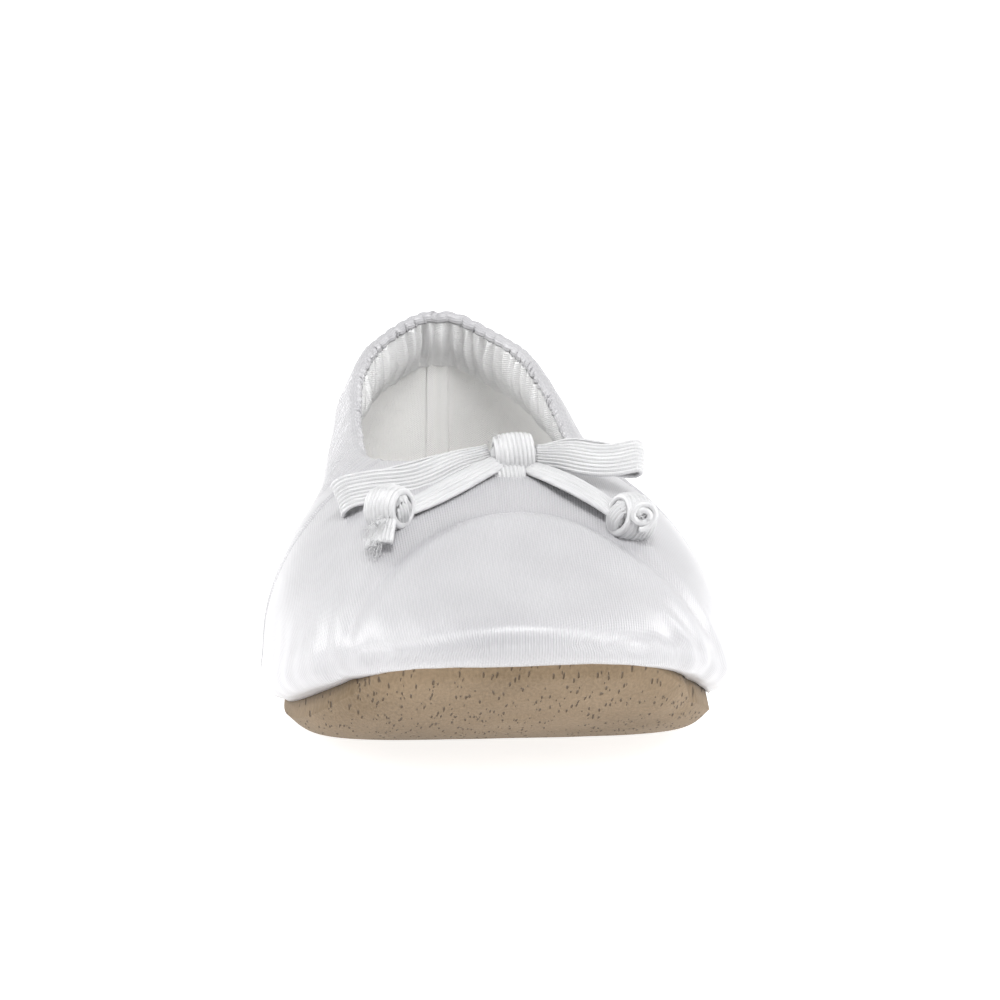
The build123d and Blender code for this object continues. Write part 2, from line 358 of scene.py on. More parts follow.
def cloth(name, p, n, thick, uv, material, wrap=False):
    # a closed sheet: the grid p is its outer face, and it is thick towards -n
    ca, cb = p.shape[:2]
    front = p.reshape(-1, 3)
    back = (p - n * np.broadcast_to(thick, (ca, cb))[..., None]).reshape(-1, 3)
    outer = grid_faces(ca, cb, wrap=wrap)
    inner = outer[:, ::-1] + ca * cb
    rims = []
    for row in (0, cb - 1):
        i = np.arange(ca if wrap else ca - 1)
        a, b = i * cb + row, ((i + 1) % ca) * cb + row
        edge = np.stack([a, b, b + ca * cb, a + ca * cb], -1)
        rims.append(edge if row == 0 else edge[:, ::-1])
    if not wrap:
        for column in (0, ca - 1):
            j = np.arange(cb - 1)
            a, b = column * cb + j, column * cb + j + 1
            edge = np.stack([b, a, a + ca * cb, b + ca * cb], -1)
            rims.append(edge if column == 0 else edge[:, ::-1])
    faces = np.vstack([outer, inner] + rims)
    both = uv.reshape(-1, 2)
    return make_piece(name, np.vstack([front, back]), faces, np.vstack([both, both]), material)


def columns_between(first, last):
    return np.arange(first, last + 1) % COLUMNS


VAMP = columns_between(COLUMNS - SEAM_COLUMN, COLUMNS + SEAM_COLUMN)
QUARTER_RIGHT = columns_between(SEAM_COLUMN, HEEL_COLUMN)
QUARTER_LEFT = columns_between(HEEL_COLUMN, COLUMNS - SEAM_COLUMN)
REAR = columns_between(SEAM_COLUMN, COLUMNS - SEAM_COLUMN)


def bend(piece):
    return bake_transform(piece)


# ---- rib coordinates: girth from the centre line on the vamp ----
def girth(x, y):
    ys = -HALF_LENGTH * np.cos(np.linspace(0.01, math.pi - 0.01, 300))
    turn = np.linspace(0.0, 1.0, 90)
    table = []
    for yy in ys:
        shares = np.sin(turn * math.pi / 2)
        hw = float(half_width(np.array(yy)))
        top = np.stack([shares * hw, wall_z(shares * hw, np.full_like(shares, yy))], -1)
        table.append(arc(top))
    table = np.array(table)
    row = np.interp(y, ys, np.arange(len(ys)))
    col = np.arcsin(share_out(x, y)) / (math.pi / 2) * (len(turn) - 1)
    r0, c0 = np.minimum(row.astype(int), len(ys) - 2), np.minimum(col.astype(int), len(turn) - 2)
    fr, fc = row - r0, col - c0
    upper = mix(table[r0, c0], table[r0, c0 + 1], fc)
    lower = mix(table[r0 + 1, c0], table[r0 + 1, c0 + 1], fc)
    return mix(upper, lower, fr)


# ---- materials ----
class Nodes:
    """A material's node tree with short ways to add what these cloths use."""

    def __init__(self, name):
        self.material = bpy.data.materials.new(name)
        self.material.use_nodes = True
        self.tree = self.material.node_tree
        self.shader = self.tree.nodes["Principled BSDF"]

    def add(self, kind, **values):
        node = self.tree.nodes.new(kind)
        for key, value in values.items():
            if hasattr(node, key):
                setattr(node, key, value)
            else:
                node.inputs[key].default_value = value
        return node

    def link(self, a, b):
        self.tree.links.new(a, b)

    def math(self, operation, a, b=None, c=None):
        node = self.add("ShaderNodeMath", operation=operation)
        for socket, value in zip(node.inputs, (a, b, c)):
            if value is None:
                continue
            if isinstance(value, (int, float)):
                socket.default_value = value
            else:
                self.link(value, socket)
        return node.outputs[0]

    def cloth_uv(self):
        uv = self.add("ShaderNodeUVMap", uv_map="Cloth")
        parts = self.add("ShaderNodeSeparateXYZ")
        self.link(uv.outputs[0], parts.inputs[0])
        return uv.outputs[0], parts.outputs[0], parts.outputs[1]

    def scaled(self, vector, scale):
        mapping = self.add("ShaderNodeMapping")
        mapping.inputs["Scale"].default_value = scale
        self.link(vector, mapping.inputs["Vector"])
        return mapping.outputs[0]

    def place(self):
        return self.add("ShaderNodeTexCoord").outputs["Object"]

    def noise(self, vector, scale, detail=3.0):
        node = self.add("ShaderNodeTexNoise")
        node.inputs["Scale"].default_value = scale
        node.inputs["Detail"].default_value = detail
        self.link(vector, node.inputs["Vector"])
        return node.outputs["Fac"]

    def wave(self, value, pitch, shift=None):
        angle = self.math("MULTIPLY", value, 2 * math.pi / pitch)
        if shift is not None:
            angle = self.math("ADD", angle, shift)
        return self.math("SINE", angle)

    def spread(self, value, low, high, to_low, to_high):
        node = self.add("ShaderNodeMapRange")
        self.link(value, node.inputs["Value"])
        for key, v in zip(("From Min", "From Max", "To Min", "To Max"), (low, high, to_low, to_high)):
            node.inputs[key].default_value = v
        return node.outputs[0]

    def tint(self, factor, dark, light):
        node = self.add("ShaderNodeMix", data_type="RGBA")
        colours = [s for s in node.inputs if s.type == "RGBA"]
        colours[0].default_value = (*dark, 1.0)
        colours[1].default_value = (*light, 1.0)
        self.link(factor, node.inputs[0])
        return [s for s in node.outputs if s.type == "RGBA"][0]

    def over(self, factor, under, colour):
        node = self.add("ShaderNodeMix", data_type="RGBA")
        colours = [s for s in node.inputs if s.type == "RGBA"]
        self.link(under, colours[0])
        colours[1].default_value = (*colour, 1.0)
        self.link(factor, node.inputs[0])
        return [s for s in node.outputs if s.type == "RGBA"][0]

    def bump(self, height, depth_mm, before=None):
        node = self.add("ShaderNodeBump")
        node.inputs["Distance"].default_value = depth_mm * MM
        self.link(height, node.inputs["Height"])
        if before is not None:
            self.link(before, node.inputs["Normal"])
        return node.outputs[0]

    def finish(self, colour, normal_, roughness, **sockets):
        self.link(colour, self.shader.inputs["Base Color"])
        self.link(normal_, self.shader.inputs["Normal"])
        if isinstance(roughness, (int, float)):
            self.shader.inputs["Roughness"].default_value = roughness
        else:
            self.link(roughness, self.shader.inputs["Roughness"])
        for key, value in sockets.items():
            self.shader.inputs[key.replace("_", " ")].default_value = value
        return self.material


def satin_material(name, pitch, dark, light, roughness):
    m = Nodes(name)
    uv, u, v = m.cloth_uv()
    drift = m.noise(m.scaled(uv, (0.09, 0.012, 1.0)), 1.0, 2.0)
    rib = m.wave(u, pitch, m.math("MULTIPLY", drift, 3.0))
    row = m.math("FLOOR", m.math("DIVIDE", u, pitch))
    knit = m.wave(v, 0.72, m.math("MULTIPLY", row, 2.4))
    height = m.math("ADD", rib, m.math("MULTIPLY", knit, 0.38))
    slub = m.noise(m.scaled(uv, (1.5, 0.5, 1.0)), 1.0, 3.0)
    height = m.math("ADD", height, m.math("MULTIPLY", slub, 0.5))
    patch = m.noise(m.place(), 45.0, 2.0)
    # The colour also follows the rib height, darker in the grooves between the ribs: painted shade. The
    # patch noise is random tone.
    shade = m.math("ADD", m.math("MULTIPLY", height, 0.16), m.math("MULTIPLY", patch, 0.9))
    colour = m.tint(m.spread(shade, 0.1, 0.9, 0.0, 1.0), dark, light)
    gloss = m.spread(m.noise(m.place(), 60.0, 0.0), 0.1, 0.9, roughness - 0.02, roughness + 0.12)
    return m.finish(colour, m.bump(height, 0.034), gloss, Specular_IOR_Level=0.8, Coat_Weight=0.6,
                    Coat_Roughness=0.3)


def ribbon_material():
    m = Nodes("satin ribbon")
    uv, u, v = m.cloth_uv()
    weft = m.wave(v, 0.3, m.math("MULTIPLY", m.noise(m.scaled(uv, (2.0, 2.0, 1.0)), 1.0, 2.0), 2.5))
    thread = m.wave(u, 0.24)
    height = m.math("ADD", m.math("MULTIPLY", weft, 0.5), thread)
    cloud = m.noise(m.scaled(uv, (0.5, 0.1, 1.0)), 1.0, 2.0)
    # The colour also follows the cord and weft height, darker in the grooves: painted shade. The cloud
    # noise is random tone.
    shade = m.math("ADD", m.math("MULTIPLY", height, 0.1), cloud)
    colour = m.tint(m.spread(shade, 0.15, 0.85, 0.0, 1.0), (0.54, 0.54, 0.55), (0.67, 0.67, 0.675))
    gloss = m.spread(m.noise(m.scaled(uv, (1.2, 0.2, 1.0)), 1.0, 2.0), 0.3, 0.7, 0.3, 0.44)
    return m.finish(colour, m.bump(height, 0.018), gloss, Specular_IOR_Level=0.8, Coat_Weight=0.35,
                    Coat_Roughness=0.3)


def lining_material(name, dark, light):
    m = Nodes(name)
    uv, u, v = m.cloth_uv()
    warp = m.wave(u, 0.5)
    weft = m.wave(v, 0.5)
    weave = m.math("MULTIPLY", warp, weft)
    fuzz = m.noise(m.scaled(uv, (3.0, 3.0, 1.0)), 1.0, 3.0)
    height = m.math("ADD", weave, fuzz)
    patch = m.noise(m.place(), 35.0, 3.0)
    # The colour also follows the weave's height, darker where the threads dip: painted shade. The patch
    # noise is random tone.
    shade = m.math("ADD", m.math("MULTIPLY", weave, 0.1), patch)
    colour = m.tint(m.spread(shade, 0.25, 0.75, 0.0, 1.0), dark, light)
    rough = m.spread(fuzz, 0.3, 0.7, 0.82, 0.95)
    return m.finish(colour, m.bump(height, 0.06), rough, Sheen_Weight=0.15)


def suede_material():
    m = Nodes("pigskin suede")
    uv = m.cloth_uv()[0]
    warped = m.add("ShaderNodeVectorMath", operation="ADD")
    wobble = m.add("ShaderNodeTexNoise")
    wobble.inputs["Scale"].default_value = 0.11
    m.link(uv, wobble.inputs["Vector"])
    shift = m.add("ShaderNodeVectorMath", operation="SCALE")
    m.link(wobble.outputs["Color"], shift.inputs[0])
    shift.inputs["Scale"].default_value = 2.0
    m.link(uv, warped.inputs[0])
    m.link(shift.outputs[0], warped.inputs[1])
    pores = None
    for scale, low, high, share in (((1.1, 0.24, 1.0), 0.14, 0.22, 0.72),
                                    ((1.5, 0.36, 1.0), 0.11, 0.18, 0.86)):
        cells = m.add("ShaderNodeTexVoronoi", voronoi_dimensions="2D")
        cells.inputs["Scale"].default_value = 1.0
        m.link(m.scaled(warped.outputs[0], scale), cells.inputs["Vector"])
        dash = m.spread(cells.outputs["Distance"], low, high, 1.0, 0.0)
        parts = m.add("ShaderNodeSeparateXYZ")
        m.link(cells.outputs["Color"], parts.inputs[0])
        chosen = m.math("GREATER_THAN", parts.outputs[0], share)
        dash = m.math("MULTIPLY", dash, chosen)
        pores = dash if pores is None else m.math("MAXIMUM", pores, dash)
    nap = m.noise(m.scaled(uv, (1.6, 0.9, 1.0)), 1.0, 6.0)
    cloud = m.noise(m.place(), 38.0, 4.0)
    shade = m.math("ADD", m.math("MULTIPLY", nap, 0.55), m.math("MULTIPLY", cloud, 0.6))
    colour = m.tint(m.spread(shade, 0.35, 0.8, 0.0, 1.0), (0.15, 0.105, 0.06), (0.28, 0.205, 0.13))
    colour = m.over(m.math("MULTIPLY", pores, 0.7), colour, (0.06, 0.038, 0.022))
    nap_bump = m.bump(nap, 0.16)
    normal_ = m.bump(m.math("MULTIPLY", pores, -1.0), 0.35, nap_bump)
    rough = m.spread(nap, 0.3, 0.7, 0.86, 0.98)
    return m.finish(colour, normal_, rough, Sheen_Weight=0.12, Sheen_Roughness=0.5,
                    Specular_IOR_Level=0.2)


# The upper's satin is a darker, lilac-tinted grey than the same white satin on the facing and the ribbon:
# painted shade of the vamp.
SATIN_CLOTH = satin_material("ribbed satin", RIB_PITCH, (0.4, 0.396, 0.413), (0.54, 0.535, 0.552), 0.32)
# The facing's satin is a lighter copy of the upper's satin, and the lining is made near white: painted
# light for the light that comes through the thin cloth into the shoe.
FACING_CLOTH = satin_material("satin facing", 0.5, (0.78, 0.78, 0.785), (0.88, 0.88, 0.88), 0.36)
LINING_CLOTH = lining_material("tricot lining", (0.93, 0.925, 0.91), (0.97, 0.965, 0.955))
SOCK_CLOTH = lining_material("sock cotton", (0.66, 0.655, 0.64), (0.76, 0.755, 0.74))
RIBBON = ribbon_material()
SUEDE = suede_material()


# ---- the satin upper ----
def upper_pieces():
    radius = mix(ROLL_REAR, ROLL_THROAT, bell(base[:, :1, 1] - THROAT_Y, 9.0))
    rough = base + normal * upper_relief()[..., None]
    n = grid_normals(rough)
    roll = roll_in(rough, n, radius)
    whole = np.concatenate([roll, rough], 1)
    n = grid_normals(whole)
    rolled = roll.shape[1]
    depth = np.concatenate([np.repeat(-np.linspace(4.0, 0.4, rolled)[None], COLUMNS, 0), from_rim], 1)
    flat = np.concatenate([np.repeat(last_grid[:, :1], rolled, 1), last_grid], 1)
    x, y = flat[..., 0], np.clip(flat[..., 1], -119.6, 119.6)
    above = flat[..., 2] > widest_z(y)
    u = girth(x, y) * np.sign(x + 1e-9)
    low = np.where(above, 0.0, widest_z(y) - flat[..., 2])
    vamp_uv = np.stack([u + np.tanh(x / 14.0) * low * ease((-y - 60.0) / -60.0 + 1.0), -y], -1)
    quarter_uv = np.stack([depth, np.repeat(rim_arc, whole.shape[1], 1)], -1)
    made = {}
    for name, columns, uv in (("vamp_satin", VAMP, vamp_uv),
                              ("quarter_right_satin", QUARTER_RIGHT, quarter_uv),
                              ("quarter_left_satin", QUARTER_LEFT, quarter_uv)):
        made[name] = cloth(name, whole[columns], n[columns], SATIN, uv[columns], SATIN_CLOTH)
    return made, radius


def facing_piece(radius):
    # the ruched satin facing inside the elastic topline
    rows = 30
    inside = np.zeros((COLUMNS, rows, 3))
    n = np.zeros_like(inside)
    depth = np.linspace(0.0, 1.0, rows)
    for c in range(COLUMNS):
        at = depth * FACING_DEPTH
        for k in range(3):
            inside[c, :, k] = np.interp(at, from_rim[c], base[c, :, k])
            n[c, :, k] = np.interp(at, from_rim[c], normal[c, :, k])
    n = unit(n)
    inner = gathers(GATHER_PITCH, 3) * 0.75 + gathers(6.3, 14) * 0.4
    fade = np.sin(math.pi * np.clip(depth * 0.9 + 0.06, 0, 1)) ** 0.7
    relief = 2.5 * gather_share * inner * fade[None]
    offset = mix(2 * radius, FACING_AT, ease(depth / 0.5)[None])
    p = inside - n * (offset + 1.9 * np.sin(math.pi * depth)[None] * gather_share - relief)[..., None]
    uv = np.stack([np.repeat((depth * FACING_DEPTH)[None], COLUMNS, 0), np.repeat(rim_arc, rows, 1)], -1)
    n = grid_normals(p)
    rear = cloth("topline_facing_satin", p[REAR][:, ::-1], -n[REAR][:, ::-1], CLOTH,
                 uv[REAR][:, ::-1], FACING_CLOTH)
    hem_rows = 12
    hem = cloth("throat_hem_satin", p[VAMP][:, :hem_rows][:, ::-1], -n[VAMP][:, :hem_rows][:, ::-1], CLOTH,
                uv[VAMP][:, :hem_rows][:, ::-1], FACING_CLOTH)
    return rear, hem


def lining_grid():
    # the lining's face, from under the facing down to the insole
    rows = 70
    p = np.zeros((COLUMNS, rows, 3))
    full = base - normal * LINING_AT
    for c in range(COLUMNS):
        z = full[c, :, 2]
        y = full[c, :, 1]
        low = np.nonzero(z > sole_lift(y) + SOCK_TOP - 0.6)[0][-1]
        start = 8.0 if c in rear_columns else 4.0
        at = np.linspace(start, max(from_rim[c, low], start + 4.0), rows)
        for k in range(3):
            p[c, :, k] = np.interp(at, from_rim[c], full[c, :, k])
    # below the sole seam it goes on down inside the sole, to the insole
    last = p[:, -1]
    drop = np.maximum(last[:, 2] - sole_lift(last[:, 1]) - SOCK_TOP + 1.6, 0.4)
    inward = -normal[:, -1] * np.array([1.0, 1.0, 0.0])
    step = (drop[:, None] * np.linspace(0.0, 1.0, 7)[None, 1:])[..., None]
    turned = last[:, None] + unit(inward)[:, None] * 0.5 * step - np.array([0.0, 0.0, 1.0]) * step
    clear = mix(-2.0, 1.3, np.linspace(0.0, 1.0, 7)[None, 1:])
    turned[..., 2] = np.maximum(turned[..., 2], under_z(turned[..., 0], turned[..., 1]) + clear)
    return np.concatenate([p, turned], 1)


rear_columns = set(REAR.tolist())


def lining_pieces():
    p = lining_grid()
    n = grid_normals(p)
    rows = p.shape[1]
    depth = depth_down(p)
    uv = np.stack([depth, np.repeat(rim_arc, rows, 1)], -1)
    made = {}
    for name, columns in (("vamp_lining_cloth", VAMP), ("quarter_lining_right_cloth", QUARTER_RIGHT),
                          ("quarter_lining_left_cloth", QUARTER_LEFT)):
        some = columns[::2] if len(columns) % 2 else np.append(columns[::2], columns[-1])
        made[name] = cloth(name, p[some], n[some], CLOTH, uv[some], LINING_CLOTH)
    # the tape over the back seam
    span = [c for c in range(HEEL_COLUMN - 5, HEEL_COLUMN + 6)]
    across = np.linspace(-1, 1, len(span))[:, None]
    raised = 0.02 + 0.22 * (1 - across ** 4) - 0.18 * bell(across, 0.25)
    tape = p[span][:, 6:] - n[span][:, 6:] * (raised[..., None] + CLOTH)
    tape_n = grid_normals_open(tape)
    made["back_seam_tape_cloth"] = cloth("back_seam_tape_cloth", tape, tape_n, 0.25,
                                         uv[span][:, 6:], LINING_CLOTH)
    return made


def grid_normals_open(p):
    round_ = np.gradient(p, axis=0)
    down = np.gradient(p, axis=1)
    return unit(np.cross(down, round_))


# ---- the sole and the insole ----
def sole_piece():
    rows = 64
    seam = base[:, -1]
    spine_y = seam[:, 1] * 0.86
    t = np.linspace(0.0, 1.0, rows)
    t = mix(t, t ** 2, 0.55)
    x = seam[:, :1] * (1 - t)[None]
    y = mix(seam[:, 1:2], spine_y[:, None], t[None])
    z = np.maximum(under_z(x, y), 0.0)
    p = np.stack([x, y, z], -1)
    n = grid_normals(p)
    # the cut edge is turned up inside the satin, and the leather is slightly uneven
    edge = base[:, -1:] - normal[:, -1:] * 2.6 + np.array([0.0, 0.0, 0.7])
    lip = base[:, -1:] - normal[:, -1:] * 1.7 + np.array([0.0, 0.0, 0.5])
    soft = 0.16 * wander(x + y * 0.3, (13.0, 19.0, 29.0), 31) * wander(y - x * 0.4, (11.0, 23.0), 32)
    curl = ease((-62.0 - y) / 20.0)
    dent = bell(np.hypot((x - 6.0) / 2.2, (y + 74.0 - 0.04 * (x - 6.0) ** 2) / 1.0), 1.0)
    from_edge = np.linalg.norm(p - p[:, :1], axis=-1)
    inset = 1.2 * bell(from_edge, 4.0)
    p = p + n * (soft * curl - 0.5 * dent * curl - inset)[..., None]
    p[..., 2] = np.maximum(p[..., 2], 0.0)
    p = np.concatenate([edge, lip, p], 1)
    uv_y = np.concatenate([edge[..., 1], lip[..., 1], y], 1) * 1.12
    uv_x = np.concatenate([edge[..., 0], lip[..., 0], x], 1)
    points = p.reshape(-1, 3)
    faces = grid_faces(COLUMNS, p.shape[1], wrap=True)
    return make_piece("outsole_suede", points, faces, np.stack([uv_x, uv_y], -1).reshape(-1, 2), SUEDE)


def insole_pieces():
    count, across = 180, 61
    # the insole fills the opening left by the lower edge of the lining
    rim = lining_grid()[:HEEL_COLUMN + 1, -1]
    rim_y = np.maximum.accumulate(rim[:, 1]) + 1e-6 * np.arange(len(rim))
    y = mix(rim_y[0] + 0.3, rim_y[-1] - 0.3, (1 - np.cos(np.linspace(0.0, math.pi, count))) / 2)
    q = np.sin(np.linspace(-math.pi / 2, math.pi / 2, across))
    pieces = []
    for name, top, thick, inset, material in (("insole_foam_pad", 5.0, 3.6, 0.5, LINING_CLOTH),
                                              ("insole_sock_cloth", 5.8, 0.6, 0.0, SOCK_CLOTH)):
        half = np.interp(y, rim_y, rim[:, 0]) - inset
        half = np.maximum(half, 0.4)
        x = half[:, None] * q[None]
        crown = 0.9 * oval(q, 4.0)[None] - 0.5 * bell(x, 18.0) * bell(y[:, None] - 78.0, 30.0)
        z = sole_lift(y)[:, None] + top - 0.9 + crown
        z = z + 0.12 * wander(x, (17.0, 29.0), 41) * wander(y[:, None], (23.0, 31.0), 42)
        z = np.maximum(z, under_z(x, y[:, None]) + 1.8)
        p = np.stack([x, np.repeat(y[:, None], across, 1), z], -1)
        n = -grid_normals_open(p)
        n = np.where(n[..., 2:] < 0, -n, n)
        uv = np.stack([x, np.repeat(y[:, None], across, 1)], -1)
        room = z - np.maximum(under_z(x, y[:, None]), 0.0) - 3.0
        deep = np.clip(room, 0.25, thick)
        pieces.append(cloth(name, p[:, ::-1], n[:, ::-1], deep[:, ::-1], uv[:, ::-1], material))
    return pieces


# ---- ribbon work ----
def ribbon_mesh(path, across, widths, thick, cords=9, cup=0.0, closed=False, ridge=0.2):
    # a corded ribbon swept along a path; across is its width direction at each point
    path, across = np.asarray(path, float), unit(np.asarray(across, float))
    if closed:
        tangent = unit(np.roll(path, -1, 0) - np.roll(path, 1, 0))
    else:
        tangent = unit(np.gradient(path, axis=0))
    across = unit(across - tangent * (across * tangent).sum(-1, keepdims=True))
    face = np.cross(tangent, across)
    samples = cords * 6 + 1
    s = np.linspace(-0.5, 0.5, samples)
    bumps = thick / 2 * oval(2 * s, 6.0) + ridge * np.abs(np.sin(math.pi * cords * (s + 0.5))) ** 0.8
    ring_a = np.concatenate([s, s[-2:0:-1]])
    ring_n = np.concatenate([bumps, -bumps[-2:0:-1]])
    widths = np.broadcast_to(np.asarray(widths, float), (len(path),))
    cup = np.broadcast_to(np.asarray(cup, float), (len(path),))
    a = widths[:, None] * ring_a[None]
    n = ring_n[None] - cup[:, None] * (4 * ring_a[None] ** 2)
    p = path[:, None] + across[:, None] * a[..., None] + face[:, None] * n[..., None]
    count, ring = p.shape[:2]
    i, j = np.meshgrid(np.arange(count if closed else count - 1), np.arange(ring), indexing="ij")
    nxt, side = (i + 1) % count, (j + 1) % ring
    faces = np.stack([i * ring + j, i * ring + side, nxt * ring + side, nxt * ring + j], -1)
    faces = faces.reshape(-1, 4).tolist()
    if not closed:
        faces.append(list(range(ring))[::-1])
        faces.append([(count - 1) * ring + k for k in range(ring)])
    uv = np.stack([a, np.repeat(arc(path)[:, None], ring, 1)], -1)
    return p.reshape(-1, 3), faces, uv.reshape(-1, 2)


def bezier(controls, count):
    controls = np.asarray(controls, float)
    t = np.linspace(0.0, 1.0, count)[:, None]
    degree = len(controls) - 1
    return sum(math.comb(degree, k) * (1 - t) ** (degree - k) * t ** k * c
               for k, c in enumerate(controls))


def surface_point(x, y, lift):
    # a point over the vamp, raised along the surface's own normal
    step = 0.5
    x, y = np.float64(x), np.float64(y)
    sx = (wall_z(x + step, y) - wall_z(x - step, y)) / (2 * step)
    sy = (wall_z(x, y + step) - wall_z(x, y - step)) / (2 * step)
    n = unit(np.array([-sx, -sy, 1.0]))
    return np.array([x, y, float(wall_z(x, y))]) + n * lift, n


def joined(parts):
    # several meshes as one: points, faces and cloth coordinates
    points, faces, uvs, first = [], [], [], 0
    for p, f, uv in parts:
        points.append(p)
        uvs.append(uv)
        faces += [[k + first for k in face] for face in f]
        first += len(p)
    return np.vstack(points), faces, np.vstack(uvs)


def thread(start, direction, length, radius, bend_by, segments=6, sides=5):
    # one loose fibre, thinning towards its end
    t = np.linspace(0.0, 1.0, segments + 1)[:, None]
    path = start + direction * length * t + bend_by * length * t ** 2
    tangent = unit(np.gradient(path, axis=0))
    side = unit(np.cross(tangent, [0.3, 0.5, 0.81]))
    other = np.cross(tangent, side)
    angle = 2 * math.pi * np.arange(sides) / sides
    r = radius * (1 - 0.7 * t)
    ring = side[:, None] * np.cos(angle)[None, :, None] + other[:, None] * np.sin(angle)[None, :, None]
    p = path[:, None] + ring * r[..., None]
    i, j = np.meshgrid(np.arange(segments), np.arange(sides), indexing="ij")
    nxt = (j + 1) % sides
    here, there = i * sides, (i + 1) * sides
    faces = np.stack([here + j, here + nxt, there + nxt, there + j], -1).reshape(-1, 4)
    faces = faces.tolist() + [list(range(sides))[::-1], [segments * sides + k for k in range(sides)]]
    uv = np.repeat(t * length, sides, 0)
    return p.reshape(-1, 3), faces, np.hstack([uv, uv])


def tuft(centre, direction, spread, length, count, radius=0.11):
    direction = unit(np.asarray(direction, float))
    fibres = []
    for _ in range(count):
        off = rng.normal(0.0, 1.0, 3)
        heading = unit(direction + spread * rng.normal(0.0, 1.0, 3))
        start = np.asarray(centre) + off * 0.8
        fibres.append(thread(start, heading, length * rng.uniform(0.6, 1.1), radius,
                             rng.normal(0.0, 0.25, 3)))
    return fibres


def wrap(centre, axis, up, radius_up, radius_side, width, cords=8, barrel=0.8, start=0.0):
    # one turn of ribbon round a knot
    axis, up = unit(np.asarray(axis, float)), np.asarray(up, float)
    up = unit(up - axis * (up @ axis))
    side = np.cross(axis, up)
    turn = np.linspace(0.0, 2 * math.pi, 65)[:-1] + start
    rise, across = (radius_up * np.cos(turn))[:, None], (radius_side * np.sin(turn))[:, None]
    path = np.asarray(centre) + up * rise + side * across
    across = np.repeat(axis[None], len(path), 0)
    return ribbon_mesh(path, across, width, 0.8, cords, barrel, closed=True, ridge=0.3)


def knot_core(centre, axis, up, half_along, radius):
    # folded ribbon inside a knot
    turn = np.linspace(0.0, math.pi, 9)[1:-1]
    axis, up = unit(np.asarray(axis, float)), np.asarray(up, float)
    up = unit(up - axis * (up @ axis))
    side = np.cross(axis, up)
    ring = np.linspace(0.0, 2 * math.pi, 33)[:-1]
    p = []
    for t in turn:
        r = radius * math.sin(t) * (1 + 0.05 * np.sin(8 * ring))
        p.append(centre + axis * (-half_along * math.cos(t))
                 + np.outer(r * np.cos(ring), up) + np.outer(r * np.sin(ring), side))
    p = np.array(p)
    count = len(ring)
    faces = grid_faces(len(turn), count).tolist()
    faces += [[i * count + count - 1, i * count, (i + 1) * count, (i + 1) * count + count - 1]
              for i in range(len(turn) - 1)]
    faces += [list(range(count)), [(len(turn) - 1) * count + k for k in range(count)][::-1]]
    flat = p.reshape(-1, 3)
    return flat, faces, flat[:, :2]


BOW = np.array([4.2, -43.2, 53.8])
BOW_TIP = math.radians(55.0)
LOOP_UP = np.array([0.0, math.cos(BOW_TIP), math.sin(BOW_TIP)])
LOOP_FACE = np.array([0.0, -math.sin(BOW_TIP), math.cos(BOW_TIP)])
RIBBON_WIDTH = 7.2


def loop_parts(root, droop, reach, side, puff, open_up):
    # droop is in degrees, side is -1 or 1, and puff is half the loop's opening
    fall = math.radians(droop)
    away = np.array([side * math.cos(fall), 0.0, 0.0]) - LOOP_UP * math.sin(fall)
    out = np.linspace(0.0, reach - puff, 46)
    swell = mix(0.45, puff, ease(out / (0.55 * reach)))
    turn = np.linspace(math.pi / 2, -math.pi / 2, 22)[1:-1]
    end = reach - puff
    flat = np.concatenate([
        np.stack([out, swell], -1),
        np.stack([end + puff * np.cos(turn), puff * np.sin(turn)], -1),
        np.stack([out, -swell], -1)[::-1],
    ])
    raise_ = open_up * np.sin(math.pi * np.clip(flat[:, 0] / end, 0.0, 1.0)) * -flat[:, 1] / puff
    sag = 0.5 * wander(flat[:, 0], (19.0, 31.0), 51) * ease(flat[:, 0] / 8.0)
    path = (root + np.outer(flat[:, 0], away) + np.outer(flat[:, 1], LOOP_FACE)
            + np.outer(raise_ + sag, LOOP_UP))
    across = LOOP_UP - away * (LOOP_UP @ away)
    across = np.repeat(unit(across)[None], len(path), 0)
    widths = mix(5.0, RIBBON_WIDTH, ease(flat[:, 0] / (0.42 * reach)))
    pinch = 0.9 * (1 - ease(flat[:, 0] / (0.4 * reach))) * np.sign(flat[:, 1] + 1e-9) * side
    return ribbon_mesh(path, across, widths, 0.4, 9, pinch + 0.35, ridge=0.34)


def tail_parts(controls, end_width):
    # controls are x, y and the lift above the vamp
    placed = [surface_point(x, y, lift) for x, y, lift in controls]
    path = bezier([p for p, _ in placed], 48)
    n = bezier([v for _, v in placed], 48)
    tangent = unit(np.gradient(path, axis=0))
    across = np.cross(n, tangent)
    t = np.linspace(0.0, 1.0, 48)
    widths = mix(5.0, end_width, t) + 1.7 * np.sin(math.pi * t)
    cup = mix(1.2, 1.5, np.sin(math.pi * t))
    band = ribbon_mesh(path, across, widths, 0.45, 8, cup, ridge=0.36)
    return band, path[-1], tangent[-1], n[-1]


